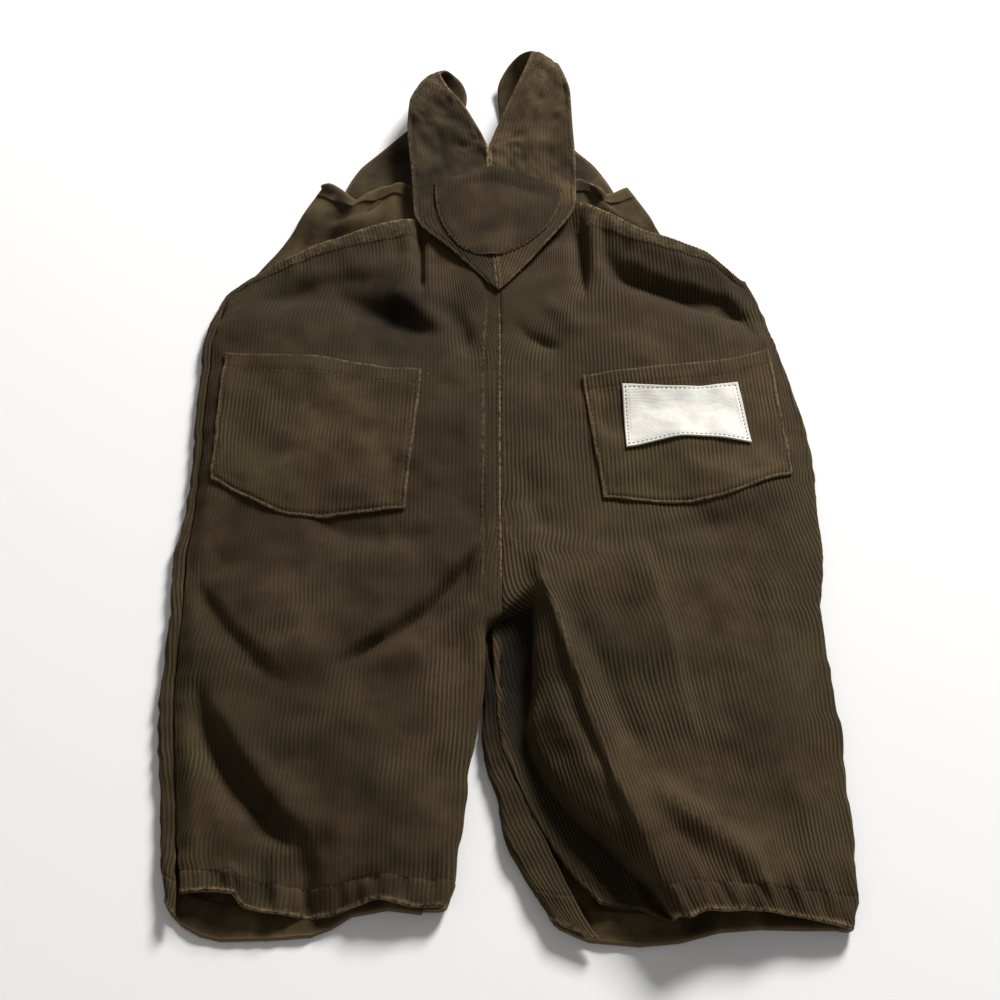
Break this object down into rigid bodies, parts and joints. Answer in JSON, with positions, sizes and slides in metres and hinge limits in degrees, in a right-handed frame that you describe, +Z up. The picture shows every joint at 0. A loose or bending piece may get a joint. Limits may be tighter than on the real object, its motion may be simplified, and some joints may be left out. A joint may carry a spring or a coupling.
{
  "type": "bib overalls",
  "caption": "Toddler's bib overalls in wide-wale corduroy, laid face down with open legs, patch pockets and straps folded over to the bib.",
  "frame": {"origin": "middle of the garment's bounding box on the surface it rests on", "axes": "+Y from the leg hems to the strap tops, +X to the wearer's right, +Z up from the surface (the back of the garment is uppermost)"},
  "size_m": [0.3262, 0.5609, 0.0221],
  "materials": {
    "corduroy": "dark olive-brown 12-wale cotton corduroy, worn reddish along the edges",
    "strap_corduroy": "the same corduroy, nap worn flatter on the straps and yoke",
    "pocket_corduroy": "the same corduroy, pile rubbed smooth over the pockets",
    "woven_label": "off-white woven label, left bare",
    "button_plastic": "plain dark brown moulded button"
  },
  "bodies": {
    "root": {"front_left": "corduroy", "front_right": "corduroy", "back_left": "corduroy", "back_right": "corduroy", "pocket_left": "pocket_corduroy", "pocket_right": "pocket_corduroy", "label": "woven_label", "strap_left": "strap_corduroy", "strap_right": "strap_corduroy", "yoke_patch": "strap_corduroy", "button_left": "button_plastic", "button_right": "button_plastic"}
  },
  "joints": []
}
